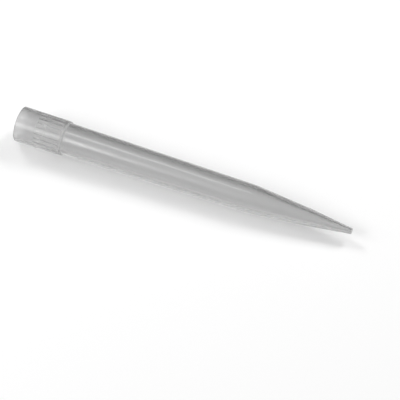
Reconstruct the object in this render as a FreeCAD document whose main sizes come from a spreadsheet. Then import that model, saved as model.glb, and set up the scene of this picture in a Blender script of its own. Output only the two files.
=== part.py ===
"""Macro pipette tip, nominal 5 mL, moulded in one piece of natural polypropylene (millimetres).

The tip is a body of revolution: a plain collar with a fluted socket for the pipette's nose cone, a step
to a long, slightly tapering barrel, then two steeper cones that end in the orifice.  It would roll on its
side, so it stands on the flat rim of its mouth, with the mouth's centre at the origin and the orifice
straight above it.  Stations are distances from the mouth along the axis.
"""

import FreeCAD, Part
import math
import os

import Sketcher

DOCUMENT_NAME = "pipette_tip"
NODE = "pipette_tip"
COINCIDENCE = 1e-6

# Driving dimensions in millimetres: alias, value, what it measures.
DRIVING_DIMENSIONS = [
    ("collar_length", 21.5, "mouth to shoulder, along the axis"),
    ("barrel_length", 84.5, "shoulder to knee"),
    ("cone_length", 25.0, "knee to bend"),
    ("point_length", 19.0, "bend to orifice"),
    ("seal_bore", 13.0, "smooth counterbore that grips the nose cone, diameter"),
    ("seal_depth", 7.0, "mouth to the end of the smooth counterbore"),
    ("lead_in_length", 1.9, "conical step from the counterbore to the socket"),
    ("socket_step", 0.25, "fluted socket narrower than the counterbore, on the radius"),
    ("land_length", 0.65, "plain land between the flutes and the seat"),
    ("seat_setback", 1.0, "annular seat inside the collar, back from the shoulder"),
    ("mouth_chamfer", 0.3, "chamfer inside the mouth"),
    ("collar_wall", 1.1, "wall at the mouth, over the counterbore"),
    ("collar_draft", 0.1, "collar narrower at the shoulder than at the rim, on the radius"),
    ("rim_rounding", 0.35, "outer edge of the rim, radius"),
    ("shoulder_rounding", 0.25, "outer edge of the shoulder, radius"),
    ("shoulder_step", 0.6, "height of the shoulder, on the radius"),
    ("flute_count", 20, "grooves round the socket"),
    ("flute_radius", 0.55, "radius of a groove's section"),
    ("flute_depth", 0.2, "depth of a groove below the socket's wall"),
    ("knee_diameter", 11.95, "outside diameter at the knee"),
    ("bend_diameter", 7.35, "outside diameter at the bend"),
    ("end_diameter", 2.4, "outside diameter at the orifice"),
    ("knee_blend", 5.0, "radius that blends the knee"),
    ("bend_blend", 3.0, "radius that blends the bend"),
    ("end_rounding", 0.12, "outer edge of the orifice, radius"),
    ("barrel_wall", 1.3, "wall under the shoulder"),
    ("knee_wall", 1.55, "wall at the knee"),
    ("bend_wall", 1.45, "wall at the bend"),
    ("bore_blend", 1.5, "radius that blends the bore at the knee and the bend"),
    ("orifice_diameter", 1.3, "hole at the small end"),
]

# Dimensions worked out from the driving ones, written as spreadsheet formulas.
DERIVED_DIMENSIONS = [
    ("knee_station", "=collar_length + barrel_length"),
    ("bend_station", "=knee_station + cone_length"),
    ("overall_length", "=bend_station + point_length"),
    ("seal_radius", "=seal_bore / 2"),
    ("socket_radius", "=seal_radius - socket_step"),
    ("mouth_radius", "=seal_radius + mouth_chamfer"),
    ("rim_radius", "=seal_radius + collar_wall"),
    ("shoulder_radius", "=rim_radius - collar_draft"),
    ("barrel_radius", "=shoulder_radius - shoulder_step"),
    ("knee_radius", "=knee_diameter / 2"),
    ("bend_radius", "=bend_diameter / 2"),
    ("end_radius", "=end_diameter / 2"),
    ("orifice_radius", "=orifice_diameter / 2"),
    ("socket_station", "=seal_depth + lead_in_length"),
    ("seat_station", "=collar_length - seat_setback"),
    ("socket_end_station", "=seat_station - land_length"),
    ("flute_length", "=socket_end_station - socket_station"),
    ("barrel_bore_radius", "=barrel_radius - barrel_wall"),
    ("knee_bore_radius", "=knee_radius - knee_wall"),
    ("bend_bore_radius", "=bend_radius - bend_wall"),
    ("flute_centre_radius", "=socket_radius + flute_depth - flute_radius"),
]


def make_sheet(doc):
    """Spreadsheet that holds every dimension under its own alias."""
    sheet = doc.addObject("Spreadsheet::Sheet", "Dimensions")
    row = 1
    for alias, value, meaning in DRIVING_DIMENSIONS:
        sheet.set(f"A{row}", meaning)
        sheet.set(f"B{row}", str(value))
        sheet.setAlias(f"B{row}", alias)
        row += 1
    for alias, formula in DERIVED_DIMENSIONS:
        sheet.set(f"A{row}", "worked out")
        sheet.set(f"B{row}", formula)
        sheet.setAlias(f"B{row}", alias)
        row += 1
    doc.recompute()
    return sheet


def origin_feature(body, role):
    """Plane or axis of the body's own origin, such as XZ_Plane or Z_Axis."""
    return next(item for item in body.Origin.OriginFeatures if item.Role == role)


def attached_sketch(body, name, role):
    """Empty sketch lying flat on one of the body's origin planes."""
    sketch = body.newObject("Sketcher::SketchObject", name)
    sketch.AttachmentSupport = (origin_feature(body, role), [""])
    sketch.MapMode = "FlatFace"
    return sketch


def same_place(first, second):
    """Whether two points of a sketch coincide."""
    return first.distanceToPoint(second) < COINCIDENCE


def bind(sketch, constraint, name, formula):
    """Add a named constraint whose value follows a formula of the sheet."""
    index = sketch.addConstraint(constraint)
    sketch.renameConstraint(index, name)
    sketch.setExpression(f"Constraints.{name}", formula)


def corner_places(sheet, corners):
    """Where the outline's corners lie in the sketch: radius across, station up."""
    places = []
    for station, radius, _ in corners:
        along = sheet.get(station) if station else 0.0
        across = sheet.get(radius) if radius else 0.0
        places.append(FreeCAD.Vector(across, along, 0.0))
    return places


def tangent_arc(before, corner, after, radius):
    """Arc that rounds a corner of the outline, from the side before it to the side after it."""
    back = (before - corner).normalize()
    ahead = (after - corner).normalize()
    half_angle = back.getAngle(ahead) / 2
    reach = radius / math.tan(half_angle)
    bisector = (back + ahead).normalize()
    centre = corner + bisector * (radius / math.sin(half_angle))
    middle = centre - bisector * radius
    return Part.Arc(corner + back * reach, middle, corner + ahead * reach)


def hold_point(sketch, sheet, geometry, place, station, radius, label):
    """Hold a geometry's first point at a station and a radius of the sheet."""
    if station:
        along = Sketcher.Constraint("DistanceY", -1, 1, geometry, 1, place.y)
        bind(sketch, along, f"station_{label}", f"{sheet.Name}.{station}")
    else:
        sketch.addConstraint(Sketcher.Constraint("PointOnObject", geometry, 1, -1))
    if radius:
        across = Sketcher.Constraint("DistanceX", -1, 1, geometry, 1, place.x)
        bind(sketch, across, f"radius_{label}", f"{sheet.Name}.{radius}")
    else:
        sketch.addConstraint(Sketcher.Constraint("PointOnObject", geometry, 1, -2))


def half_section(body, sheet, name, corners):
    """Closed outline in the axial plane, through corners given as (station, radius, rounding) aliases.

    The sketch's vertical axis is the tip's axis.  A station or radius of None lies on the mouth plane
    or on the axis, and a rounding of None leaves the corner sharp.
    """
    sketch = attached_sketch(body, name, "XZ_Plane")
    places = corner_places(sheet, corners)
    count = len(places)
    arcs = {}
    for index, (_, _, rounding) in enumerate(corners):
        if rounding:
            before = places[index - 1]
            after = places[(index + 1) % count]
            arcs[index] = tangent_arc(before, places[index], after, sheet.get(rounding))
    lines = []
    for index, place in enumerate(places):
        following = (index + 1) % count
        begin = arcs[index].EndPoint if index in arcs else place
        finish = arcs[following].StartPoint if following in arcs else places[following]
        lines.append(sketch.addGeometry(Part.LineSegment(begin, finish), False))
    for index, (station, radius, rounding) in enumerate(corners):
        line_in = lines[index - 1]
        line_out = lines[index]
        if index not in arcs:
            sketch.addConstraint(Sketcher.Constraint("Coincident", line_in, 2, line_out, 1))
            hold_point(sketch, sheet, line_out, places[index], station, radius, index)
            continue
        arc = sketch.addGeometry(arcs[index], False)
        first, last = (1, 2) if same_place(sketch.getPoint(arc, 1), arcs[index].StartPoint) else (2, 1)
        sketch.addConstraint(Sketcher.Constraint("Tangent", line_in, 2, arc, first))
        sketch.addConstraint(Sketcher.Constraint("Tangent", arc, last, line_out, 1))
        size = Sketcher.Constraint("Radius", arc, sheet.get(rounding))
        bind(sketch, size, f"rounding_{index}", f"{sheet.Name}.{rounding}")
        corner = sketch.addGeometry(Part.Point(places[index]), True)
        sketch.addConstraint(Sketcher.Constraint("PointOnObject", corner, 1, line_in))
        sketch.addConstraint(Sketcher.Constraint("PointOnObject", corner, 1, line_out))
        hold_point(sketch, sheet, corner, places[index], station, radius, index)
    return sketch


def outer_form(body, sheet):
    """Solid of revolution with the tip's outside: collar, shoulder, barrel, cone and point."""
    corners = [
        (None, None, None),
        (None, "rim_radius", "rim_rounding"),
        ("collar_length", "shoulder_radius", "shoulder_rounding"),
        ("collar_length", "barrel_radius", None),
        ("knee_station", "knee_radius", "knee_blend"),
        ("bend_station", "bend_radius", "bend_blend"),
        ("overall_length", "end_radius", "end_rounding"),
        ("overall_length", None, None),
    ]
    sketch = half_section(body, sheet, "OuterSection", corners)
    outer = body.newObject("PartDesign::Revolution", "OuterForm")
    outer.Profile = sketch
    outer.ReferenceAxis = (sketch, ["V_Axis"])
    outer.Angle = 360.0


def bore(body, sheet):
    """Hollow left by the moulding core: counterbore, socket, seat, barrel bore and orifice."""
    corners = [
        (None, None, None),
        (None, "mouth_radius", None),
        ("mouth_chamfer", "seal_radius", None),
        ("seal_depth", "seal_radius", None),
        ("socket_station", "socket_radius", None),
        ("seat_station", "socket_radius", None),
        ("seat_station", "barrel_bore_radius", None),
        ("knee_station", "knee_bore_radius", "bore_blend"),
        ("bend_station", "bend_bore_radius", "bore_blend"),
        ("overall_length", "orifice_radius", None),
        ("overall_length", None, None),
    ]
    sketch = half_section(body, sheet, "BoreSection", corners)
    groove = body.newObject("PartDesign::Groove", "Bore")
    groove.Profile = sketch
    groove.ReferenceAxis = (sketch, ["V_Axis"])
    groove.Angle = 360.0


def flutes(body, sheet):
    """Shallow round-bottomed grooves along the socket, evenly spaced round the axis."""
    sketch = attached_sketch(body, "FluteSection", "XY_Plane")
    sketch.setExpression("AttachmentOffset.Base.z", f"{sheet.Name}.socket_station")
    centre = FreeCAD.Vector(sheet.get("flute_centre_radius"), 0.0, 0.0)
    normal = FreeCAD.Vector(0.0, 0.0, 1.0)
    sketch.addGeometry(Part.Circle(centre, normal, sheet.get("flute_radius")), False)
    sketch.addConstraint(Sketcher.Constraint("PointOnObject", 0, 3, -1))
    across = Sketcher.Constraint("DistanceX", -1, 1, 0, 3, centre.x)
    bind(sketch, across, "centre_radius", f"{sheet.Name}.flute_centre_radius")
    radius = Sketcher.Constraint("Radius", 0, sheet.get("flute_radius"))
    bind(sketch, radius, "section_radius", f"{sheet.Name}.flute_radius")
    flute = body.newObject("PartDesign::Pocket", "Flute")
    flute.Profile = sketch
    flute.Reversed = True
    flute.setExpression("Length", f"{sheet.Name}.flute_length")
    body.Document.recompute()
    pattern = body.newObject("PartDesign::PolarPattern", "Flutes")
    pattern.Originals = [flute]
    pattern.Axis = (origin_feature(body, "Z_Axis"), [""])
    pattern.Angle = 360.0
    pattern.setExpression("Occurrences", f"{sheet.Name}.flute_count")
    body.Tip = pattern


def make_tip(doc, sheet):
    """The whole tip, one moulded piece, standing on its mouth."""
    body = doc.addObject("PartDesign::Body", "PipetteTip")
    body.Label = NODE
    outer_form(body, sheet)
    bore(body, sheet)
    doc.recompute()
    solid_before = body.Shape.Volume
    flutes(body, sheet)
    doc.recompute()
    if body.Shape.Volume >= solid_before:
        raise ValueError("the flutes cut nothing")
    return body


def check(doc, bodies):
    """Stop if an object of the document failed or a sub-part's shape is unusable."""
    for item in doc.Objects:
        if "Invalid" in item.State or "Error" in item.State:
            raise ValueError(f"{item.Name} failed: {item.State}")
    for body in bodies:
        if body.Shape.isNull() or not body.Shape.isValid():
            raise ValueError(f"{body.Label} has no valid shape")


def main():
    """Build the document and write each sub-part's shape."""
    doc = FreeCAD.newDocument(DOCUMENT_NAME)
    sheet = make_sheet(doc)
    bodies = [make_tip(doc, sheet)]
    check(doc, bodies)
    os.makedirs("parts", exist_ok=True)
    for body in bodies:
        body.Shape.exportStep(f"parts/{body.Label}.step")


main()
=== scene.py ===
"""Macro pipette tip in natural polypropylene, seen as it lies on a white table (metres).

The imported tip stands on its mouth, because it would roll on its side.  The photograph shows it lying, so
the table, the lamps and the camera are laid out around a lying tip, and one transform turns them all up
to the standing one.
"""

import math

import bmesh
import bpy
from mathutils import Matrix, Vector


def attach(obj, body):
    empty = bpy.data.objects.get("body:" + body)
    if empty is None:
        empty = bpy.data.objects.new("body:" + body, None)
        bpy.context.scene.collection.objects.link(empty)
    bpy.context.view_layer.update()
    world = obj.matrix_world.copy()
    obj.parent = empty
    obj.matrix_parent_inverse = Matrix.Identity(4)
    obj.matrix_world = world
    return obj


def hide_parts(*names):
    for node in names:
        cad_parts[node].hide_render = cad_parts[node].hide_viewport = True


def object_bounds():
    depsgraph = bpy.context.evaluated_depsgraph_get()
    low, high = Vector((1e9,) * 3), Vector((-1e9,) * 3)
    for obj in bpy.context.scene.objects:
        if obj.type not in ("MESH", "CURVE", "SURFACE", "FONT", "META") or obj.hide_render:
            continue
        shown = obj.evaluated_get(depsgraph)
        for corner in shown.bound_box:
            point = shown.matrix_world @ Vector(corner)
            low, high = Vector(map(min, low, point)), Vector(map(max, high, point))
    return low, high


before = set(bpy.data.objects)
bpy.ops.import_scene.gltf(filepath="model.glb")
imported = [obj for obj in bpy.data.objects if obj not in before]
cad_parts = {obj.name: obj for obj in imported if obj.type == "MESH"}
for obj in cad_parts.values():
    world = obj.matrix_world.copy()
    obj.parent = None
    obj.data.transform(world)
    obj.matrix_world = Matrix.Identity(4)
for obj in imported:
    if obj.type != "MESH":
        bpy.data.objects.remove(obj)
packed_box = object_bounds()

MM = 0.001

# Stations along the axis, from the mouth.
COLLAR_LENGTH = 21.5 * MM
KNEE_STATION = 106.0 * MM
BEND_STATION = 131.0 * MM
TIP_LENGTH = packed_box[1].z - packed_box[0].z
SEAL_DEPTH = 7.0 * MM
SOCKET_STATION = 8.9 * MM
FLUTES_END = 19.85 * MM
SEAT_STATION = 20.5 * MM

# Outside radii, and the rounding of each edge.
RIM_RADIUS = 7.6 * MM
SHOULDER_RADIUS = 7.5 * MM
BARREL_RADIUS = 6.9 * MM
KNEE_RADIUS = 5.975 * MM
BEND_RADIUS = 3.675 * MM
END_RADIUS = 1.2 * MM
RIM_ROUNDING = 0.35 * MM
SHOULDER_ROUNDING = 0.25 * MM
SHOULDER_FILLET = 0.3 * MM
KNEE_BLEND = 5.0 * MM
BEND_BLEND = 3.0 * MM
END_ROUNDING = 0.12 * MM

# Inside radii.
SEAL_RADIUS = 6.5 * MM
SOCKET_RADIUS = 6.25 * MM
BARREL_BORE = 5.6 * MM
KNEE_BORE = 4.425 * MM
BEND_BORE = 2.225 * MM
ORIFICE_RADIUS = 0.65 * MM
MOUTH_CHAMFER = 0.3 * MM
BORE_BLEND = 1.5 * MM

# Grooves of the socket.
FLUTE_COUNT = 20
FLUTE_RADIUS = 0.55 * MM
FLUTE_DEPTH = 0.2 * MM

# Finish of each surface: roughness, gloss of the skin, and how far light passes instead of scattering.
# A layer of the mesh's faces carries it to the material.
FINISH_LAYER = "finish"
COLLAR_FINISH = (0.24, 0.0, 0.9)
EDGE_FINISH = (0.24, 0.0, 0.47)
BARREL_FINISH = (0.24, 1.0, 0.9)
SEAL_FINISH = (0.35, 0.0, 0.9)
SOCKET_FINISH = (0.25, 0.0, 0.9)
BORE_FINISH = (0.35, 0.0, 0.9)
SKIN_ROUGHNESS = 0.14
UNEVENNESS = 0.1

# Natural polypropylene, with soft clouds in its roughness and a fine ripple (noise scales per metre).
PLASTIC_COLOUR = (0.8, 0.8, 0.8, 1.0)
PLASTIC_IOR = 1.49
CLOUD_SCALE = 260.0
CLOUD_DETAIL = 4.0
RIPPLE_SCALE = 1800.0
RIPPLE_DETAIL = 3.0
RIPPLE_STRENGTH = 0.05
RIPPLE_HEIGHT = 0.05 * MM

# How finely the tip is turned.
STEPS_PER_FLUTE = 12
RING_SPACING = 2.0 * MM
ARC_STEP = math.radians(7.0)
SHARP_EDGE = math.radians(25.0)
WELD = 1e-8


def arc_points(before, corner, after, radius):
    """Points along the arc that rounds a corner between two straight runs of an outline."""
    back = (before - corner).normalized()
    ahead = (after - corner).normalized()
    half_angle = back.angle(ahead) / 2
    bisector = (back + ahead).normalized()
    centre = corner + bisector * (radius / math.sin(half_angle))
    reach = radius / math.tan(half_angle)
    first = corner + back * reach - centre
    last = corner + ahead * reach - centre
    turn = math.copysign(math.pi - 2 * half_angle, first.cross(last))
    steps = max(2, math.ceil(abs(turn) / ARC_STEP))
    spin = [Matrix.Rotation(turn * step / steps, 2) for step in range(steps + 1)]
    return [centre + rotation @ first for rotation in spin]


def outline(corners):
    """Points (station, radius) through an outline's corners, given as (station, radius, rounding)."""
    places = [Vector((station, radius)) for station, radius, _ in corners]
    points = []
    for index, (_, _, rounding) in enumerate(corners):
        if rounding:
            points += arc_points(places[index - 1], places[index], places[index + 1], rounding)
        else:
            points.append(places[index])
    return points


def spaced(points):
    """The same outline with long straight runs divided, so that shading normals stay true."""
    result = []
    for start, end in zip(points[:-1], points[1:]):
        pieces = max(1, math.ceil((end - start).length / RING_SPACING))
        result += [start.lerp(end, piece / pieces) for piece in range(pieces)]
    return result + [points[-1]]


def groove_radius(angle):
    """Radius of the socket's wall at an angle round the axis, where a groove may be cut into it."""
    pitch = 2 * math.pi / FLUTE_COUNT
    off = (angle + pitch / 2) % pitch - pitch / 2
    centre = SOCKET_RADIUS + FLUTE_DEPTH - FLUTE_RADIUS
    reach = FLUTE_RADIUS ** 2 - (centre * math.sin(off)) ** 2
    if reach <= 0:
        return SOCKET_RADIUS
    return max(SOCKET_RADIUS, centre * math.cos(off) + math.sqrt(reach))


def ring(mesh, station, radius_at):
    """One ring of vertices round the axis, with the radius given by a function of the angle."""
    count = FLUTE_COUNT * STEPS_PER_FLUTE
    vertices = []
    for step in range(count):
        angle = 2 * math.pi * step / count
        radius = radius_at(angle)
        vertices.append(mesh.verts.new((radius * math.cos(angle), radius * math.sin(angle), station)))
    return vertices


def plain_ring(mesh, point):
    """Round ring at an outline's point (station, radius)."""
    return ring(mesh, point.x, lambda angle: point.y)


def bridge(mesh, lower, upper, layer, finish):
    """Band of faces between two rings, with their finish kept in a layer of the mesh."""
    count = len(lower)
    for step in range(count):
        following = (step + 1) % count
        face = mesh.faces.new((lower[step], lower[following], upper[following], upper[step]))
        face.smooth = True
        face[layer] = finish


def outside_finish(station):
    """Finish of the outside at a station of the axis; rim and shoulder are cloudy edges."""
    if station < RIM_ROUNDING:
        return EDGE_FINISH
    if station < COLLAR_LENGTH - SHOULDER_ROUNDING:
        return COLLAR_FINISH
    return EDGE_FINISH if station < COLLAR_LENGTH + SHOULDER_FILLET else BARREL_FINISH


def inside_finish(station):
    """Finish of the inside at a station of the axis."""
    if station < SOCKET_STATION:
        return SEAL_FINISH
    return SOCKET_FINISH if station < SEAT_STATION else BORE_FINISH


def outer_points():
    """The outside, from the rim of the mouth to the orifice."""
    return spaced(outline([
        (0.0, SEAL_RADIUS + MOUTH_CHAMFER, None),
        (0.0, RIM_RADIUS, RIM_ROUNDING),
        (COLLAR_LENGTH, SHOULDER_RADIUS, SHOULDER_ROUNDING),
        (COLLAR_LENGTH, BARREL_RADIUS, SHOULDER_FILLET),
        (KNEE_STATION, KNEE_RADIUS, KNEE_BLEND),
        (BEND_STATION, BEND_RADIUS, BEND_BLEND),
        (TIP_LENGTH, END_RADIUS, END_ROUNDING),
        (TIP_LENGTH, ORIFICE_RADIUS, None),
    ]))


def bore_points():
    """The bore from the orifice back to the seat of the socket."""
    return spaced(outline([
        (TIP_LENGTH, ORIFICE_RADIUS, None),
        (BEND_STATION, BEND_BORE, BORE_BLEND),
        (KNEE_STATION, KNEE_BORE, BORE_BLEND),
        (SEAT_STATION, BARREL_BORE, None),
        (SEAT_STATION, SOCKET_RADIUS, None),
        (FLUTES_END, SOCKET_RADIUS, None),
    ]))


def mouth_points():
    """The counterbore from the end of the socket back to the mouth."""
    return spaced(outline([
        (SOCKET_STATION, SOCKET_RADIUS, None),
        (SEAL_DEPTH, SEAL_RADIUS, None),
        (MOUTH_CHAMFER, SEAL_RADIUS, None),
        (0.0, SEAL_RADIUS + MOUTH_CHAMFER, None),
    ]))


def turned_tip():
    """The tip as one closed mesh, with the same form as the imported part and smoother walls."""
    mesh = bmesh.new()
    layer = mesh.faces.layers.float_vector.new(FINISH_LAYER)
    outside = [plain_ring(mesh, point) for point in outer_points()]
    inside = [plain_ring(mesh, point) for point in bore_points()]
    grooved_length = FLUTES_END - SOCKET_STATION
    grooved_rings = math.ceil(grooved_length / RING_SPACING)
    for step in range(grooved_rings + 1):
        inside.append(ring(mesh, FLUTES_END - grooved_length * step / grooved_rings, groove_radius))
    inside += [plain_ring(mesh, point) for point in mouth_points()]
    for rings, finish_at in ((outside, outside_finish), (inside, inside_finish)):
        for lower, upper in zip(rings[:-1], rings[1:]):
            bridge(mesh, lower, upper, layer, finish_at((lower[0].co.z + upper[0].co.z) / 2))
    bmesh.ops.remove_doubles(mesh, verts=mesh.verts, dist=WELD)
    bmesh.ops.recalc_face_normals(mesh, faces=mesh.faces)
    data = bpy.data.meshes.new("tip_moulding")
    mesh.to_mesh(data)
    mesh.free()
    data.set_sharp_from_angle(angle=SHARP_EDGE)
    tip = bpy.data.objects.new("tip_moulding", data)
    bpy.context.scene.collection.objects.link(tip)
    return tip


def new_material(name):
    """Empty node material, with its node tree and its output node."""
    material = bpy.data.materials.new(name)
    material.use_nodes = True
    tree = material.node_tree
    tree.nodes.clear()
    return material, tree, tree.nodes.new("ShaderNodeOutputMaterial")


def math_node(tree, operation, first, second):
    """Math node fed by two outputs, or by an output and a number."""
    node = tree.nodes.new("ShaderNodeMath")
    node.operation = operation
    tree.links.new(first, node.inputs[0])
    if isinstance(second, float):
        node.inputs[1].default_value = second
    else:
        tree.links.new(second, node.inputs[1])
    return node.outputs[0]


def mix_shaders(tree, factor, first, second):
    """Mix of two shaders by an output from 0 to 1."""
    node = tree.nodes.new("ShaderNodeMixShader")
    tree.links.new(factor, node.inputs["Fac"])
    tree.links.new(first, node.inputs[1])
    tree.links.new(second, node.inputs[2])
    return node.outputs[0]


def natural_polypropylene():
    """Milky, translucent moulded plastic: satin walls with a faint ripple and cloudiness."""
    material, tree, output = new_material("milky_polypropylene")
    place = tree.nodes.new("ShaderNodeTexCoord")

    cloud = tree.nodes.new("ShaderNodeTexNoise")
    cloud.inputs["Scale"].default_value = CLOUD_SCALE
    cloud.inputs["Detail"].default_value = CLOUD_DETAIL
    tree.links.new(place.outputs["Object"], cloud.inputs["Vector"])
    layer = tree.nodes.new("ShaderNodeAttribute")
    layer.attribute_name = FINISH_LAYER
    finish = tree.nodes.new("ShaderNodeSeparateXYZ")
    tree.links.new(layer.outputs["Vector"], finish.inputs["Vector"])
    unevenness = tree.nodes.new("ShaderNodeMapRange")
    unevenness.inputs["To Min"].default_value = 1 - UNEVENNESS
    unevenness.inputs["To Max"].default_value = 1 + UNEVENNESS
    tree.links.new(cloud.outputs["Fac"], unevenness.inputs["Value"])
    roughness = math_node(tree, "MULTIPLY", finish.outputs["X"], unevenness.outputs["Result"])

    grain = tree.nodes.new("ShaderNodeTexNoise")
    grain.inputs["Scale"].default_value = RIPPLE_SCALE
    grain.inputs["Detail"].default_value = RIPPLE_DETAIL
    tree.links.new(place.outputs["Object"], grain.inputs["Vector"])
    ripple = tree.nodes.new("ShaderNodeBump")
    ripple.inputs["Strength"].default_value = RIPPLE_STRENGTH
    ripple.inputs["Distance"].default_value = RIPPLE_HEIGHT
    tree.links.new(grain.outputs["Fac"], ripple.inputs["Height"])

    plastic = tree.nodes.new("ShaderNodeBsdfPrincipled")
    plastic.inputs["Base Color"].default_value = PLASTIC_COLOUR
    plastic.inputs["IOR"].default_value = PLASTIC_IOR
    plastic.inputs["Coat Roughness"].default_value = SKIN_ROUGHNESS
    tree.links.new(roughness, plastic.inputs["Roughness"])
    tree.links.new(finish.outputs["Y"], plastic.inputs["Coat Weight"])
    tree.links.new(finish.outputs["Z"], plastic.inputs["Transmission Weight"])
    tree.links.new(ripple.outputs["Normal"], plastic.inputs["Normal"])
    tree.links.new(plastic.outputs["BSDF"], output.inputs["Surface"])
    return material


# The lying tip: the photograph's table is level, the mouth points to -X and the orifice to +X.
TABLE_LEAN = math.atan2(SHOULDER_RADIUS - KNEE_RADIUS, KNEE_STATION - COLLAR_LENGTH)
AXIS_HEIGHT = SHOULDER_RADIUS * math.cos(TABLE_LEAN) + COLLAR_LENGTH * math.sin(TABLE_LEAN)
GROOVE_TURN = math.radians(36.15)


def lying_to_standing():
    """Transform from the level scene around the lying tip to the frame, where the tip stands."""
    from_mouth = Matrix.Translation((0.0, 0.0, -AXIS_HEIGHT))
    level_axis = Matrix.Rotation(-TABLE_LEAN, 4, "Y")
    upright = Matrix(((0, -1, 0, 0), (0, 0, -1, 0), (1, 0, 0, 0), (0, 0, 0, 1)))
    return Matrix.Rotation(GROOVE_TURN, 4, "Z") @ upright @ level_axis @ from_mouth


# The table: its side, its real lightness, and the glow by which the camera sees it white.
TABLE_SIZE = 1.0
TABLE_ALBEDO = 0.8
CAMERA_GLOW = 0.16

# Painted shade, seen only in reflections and through the plastic: how bright the table looks there in
# front of the tip, under it and behind it, and where one level fades into the next. Under the tip it is
# painted shade for the tip's own shadow, and behind it painted shade for a room that is darker behind the
# tip; it is not physical.
NEAR_LEVEL = 1.0
PAINTED_SHADE_LEVEL = 0.8
PAINTED_FAR_SHADE_LEVEL = 0.55
FRONT_FADE = (-12.0 * MM, -5.0 * MM)
BACK_FADE = (13.0 * MM, 19.0 * MM)


def fade(tree, value, span, start, end):
    """Level that goes from start to end while a value crosses a span."""
    node = tree.nodes.new("ShaderNodeMapRange")
    node.inputs["From Min"].default_value = span[0]
    node.inputs["From Max"].default_value = span[1]
    node.inputs["To Min"].default_value = start
    node.inputs["To Max"].default_value = end
    tree.links.new(value, node.inputs["Value"])
    return node.outputs["Result"]


def table_material():
    """White paper that keeps the shadow, shows painted shade in reflections and through the plastic, and
    is clear from behind.
    """
    material, tree, output = new_material("white_table")
    light_path = tree.nodes.new("ShaderNodeLightPath")

    paper = tree.nodes.new("ShaderNodeBsdfDiffuse")
    paper.inputs["Color"].default_value = (TABLE_ALBEDO, TABLE_ALBEDO, TABLE_ALBEDO, 1.0)
    glow = tree.nodes.new("ShaderNodeEmission")
    seen = math_node(tree, "MULTIPLY", light_path.outputs["Is Camera Ray"], CAMERA_GLOW)
    tree.links.new(seen, glow.inputs["Strength"])
    bright_paper = tree.nodes.new("ShaderNodeAddShader")
    tree.links.new(paper.outputs[0], bright_paper.inputs[0])
    tree.links.new(glow.outputs[0], bright_paper.inputs[1])

    # Painted shade: a glow that shows the table in reflections and through the plastic, full in front of
    # the tip, darker under it and darkest behind it.
    painted_shade_glow = tree.nodes.new("ShaderNodeEmission")
    spot = tree.nodes.new("ShaderNodeTexCoord")
    across = tree.nodes.new("ShaderNodeSeparateXYZ")
    tree.links.new(spot.outputs["Object"], across.inputs["Vector"])
    near_half = fade(tree, across.outputs["Y"], FRONT_FADE, NEAR_LEVEL, PAINTED_SHADE_LEVEL)
    far_half = fade(tree, across.outputs["Y"], BACK_FADE, 0.0, PAINTED_FAR_SHADE_LEVEL - PAINTED_SHADE_LEVEL)
    level = math_node(tree, "ADD", near_half, far_half)
    tree.links.new(level, painted_shade_glow.inputs["Strength"])
    through = math_node(tree, "MAXIMUM", light_path.outputs["Is Glossy Ray"],
                        light_path.outputs["Is Transmission Ray"])
    front = mix_shaders(tree, through, bright_paper.outputs[0], painted_shade_glow.outputs[0])

    side = tree.nodes.new("ShaderNodeNewGeometry")
    clear = tree.nodes.new("ShaderNodeBsdfTransparent")
    one_sided = mix_shaders(tree, side.outputs["Backfacing"], front, clear.outputs[0])
    tree.links.new(one_sided, output.inputs["Surface"])
    material.cycles.emission_sampling = "NONE"
    return material


def add_table(place):
    """Level plane under the lying tip."""
    half = TABLE_SIZE / 2
    data = bpy.data.meshes.new("table")
    corners = [(-half, -half, 0), (half, -half, 0), (half, half, 0), (-half, half, 0)]
    data.from_pydata(corners, [], [(0, 1, 2, 3)])
    data.materials.append(table_material())
    table = bpy.data.objects.new("table", data)
    bpy.context.scene.collection.objects.link(table)
    table.matrix_world = place


# Softboxes round the lying tip: name, place from the tip's middle, length along the tip, width, watts.
LAMPS = [
    ("overhead_lamp", (-0.35, 0.08, 1.3), 0.5, 0.15, 0.9),
    ("front_lamp", (-0.6, -0.9, 0.8), 0.5, 0.5, 4.8),
    ("key_lamp", (-0.9, 0.45, 0.85), 0.35, 0.4, 5.5),
    ("back_lamp", (0.45, 0.75, 0.8), 0.35, 0.45, 6.2),
    ("side_lamp", (-1.0, -0.5, 0.7), 0.5, 0.5, 2.8),
]

# Surroundings, and the dim part of them low behind the lying tip.
SURROUNDINGS = 0.4
WHITE_TO_CAMERA = 1.0
GLOOM_LEVEL = 0.0
GLOOM_HEIGHT = math.radians(20.0)
GLOOM_CORE = math.radians(35.0)
GLOOM_SPREAD = math.radians(65.0)


def facing(position, target):
    """Matrix of an object that looks at a target along its own -Z, with its X along the tip."""
    back = (position - target).normalized()
    along = Vector((1.0, 0.0, 0.0))
    along = (along - back * along.dot(back)).normalized()
    turn = Matrix((along, back.cross(along), back)).transposed().to_4x4()
    return Matrix.Translation(position) @ turn


def add_lamps(place, middle):
    """Softboxes that light the lying tip and the table."""
    for name, offset, length, width, power in LAMPS:
        light = bpy.data.lights.new(name, "AREA")
        light.shape = "RECTANGLE"
        light.size = length
        light.size_y = width
        light.energy = power
        lamp = bpy.data.objects.new(name, light)
        bpy.context.scene.collection.objects.link(lamp)
        lamp.matrix_world = place @ facing(middle + Vector(offset), middle)
        lamp.visible_camera = False


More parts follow.
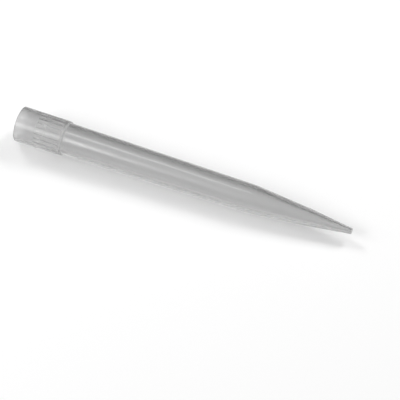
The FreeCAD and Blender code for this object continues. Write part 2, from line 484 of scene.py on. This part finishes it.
def add_world(place):
    """Grey surroundings, darker low behind the lying tip, that look white to the camera."""
    world = bpy.data.worlds.new("studio")
    bpy.context.scene.world = world
    world.use_nodes = True
    world.cycles.sampling_method = "NONE"
    tree = world.node_tree
    background = tree.nodes["Background"]
    background.inputs["Color"].default_value = (1.0, 1.0, 1.0, 1.0)

    direction = tree.nodes.new("ShaderNodeTexCoord")
    toward_gloom = tree.nodes.new("ShaderNodeVectorMath")
    toward_gloom.operation = "DOT_PRODUCT"
    gloom = Vector((0.0, math.cos(GLOOM_HEIGHT), math.sin(GLOOM_HEIGHT)))
    toward_gloom.inputs[1].default_value = place.to_3x3() @ gloom
    tree.links.new(direction.outputs["Generated"], toward_gloom.inputs[0])
    shade = tree.nodes.new("ShaderNodeMapRange")
    shade.inputs["From Min"].default_value = math.cos(GLOOM_SPREAD)
    shade.inputs["From Max"].default_value = math.cos(GLOOM_CORE)
    shade.inputs["To Min"].default_value = SURROUNDINGS
    shade.inputs["To Max"].default_value = GLOOM_LEVEL
    tree.links.new(toward_gloom.outputs["Value"], shade.inputs["Value"])

    light_path = tree.nodes.new("ShaderNodeLightPath")
    strength = tree.nodes.new("ShaderNodeMix")
    strength.inputs["B"].default_value = WHITE_TO_CAMERA
    tree.links.new(light_path.outputs["Is Camera Ray"], strength.inputs["Factor"])
    tree.links.new(shade.outputs["Result"], strength.inputs["A"])
    tree.links.new(strength.outputs["Result"], background.inputs["Strength"])


# The photograph's view of the lying tip (lens and sensor in millimetres, as Blender takes them).
VIEW_AZIMUTH = math.radians(22.39)
VIEW_ELEVATION = math.radians(49.63)
VIEW_DISTANCE = 1.2
LENS = 258.4
SENSOR = 36.0
AIM_RIGHT = 6.829 * MM
AIM_UP = -9.747 * MM


def add_camera(place, middle):
    """Camera at the photograph's viewing angle, aimed a little beside the middle of the tip."""
    back = Vector((
        math.sin(VIEW_AZIMUTH) * math.cos(VIEW_ELEVATION),
        -math.cos(VIEW_AZIMUTH) * math.cos(VIEW_ELEVATION),
        math.sin(VIEW_ELEVATION),
    ))
    right = Vector((math.cos(VIEW_AZIMUTH), math.sin(VIEW_AZIMUTH), 0.0))
    up = back.cross(right)
    aim = middle + right * AIM_RIGHT + up * AIM_UP
    turn = Matrix((right, up, back)).transposed().to_4x4()
    data = bpy.data.cameras.new("camera")
    data.sensor_width = SENSOR
    data.lens = LENS
    camera = bpy.data.objects.new("camera", data)
    bpy.context.scene.collection.objects.link(camera)
    camera.matrix_world = place @ Matrix.Translation(aim + back * VIEW_DISTANCE) @ turn
    bpy.context.scene.camera = camera


tip = turned_tip()
tip.data.materials.append(natural_polypropylene())
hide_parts("pipette_tip")
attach(tip, "root")

standing = lying_to_standing()
middle = standing.inverted() @ Vector((0.0, 0.0, TIP_LENGTH / 2))
add_table(standing)
add_lamps(standing, middle)
add_world(standing)
add_camera(standing, middle)
bpy.context.scene.view_settings.view_transform = "Standard"
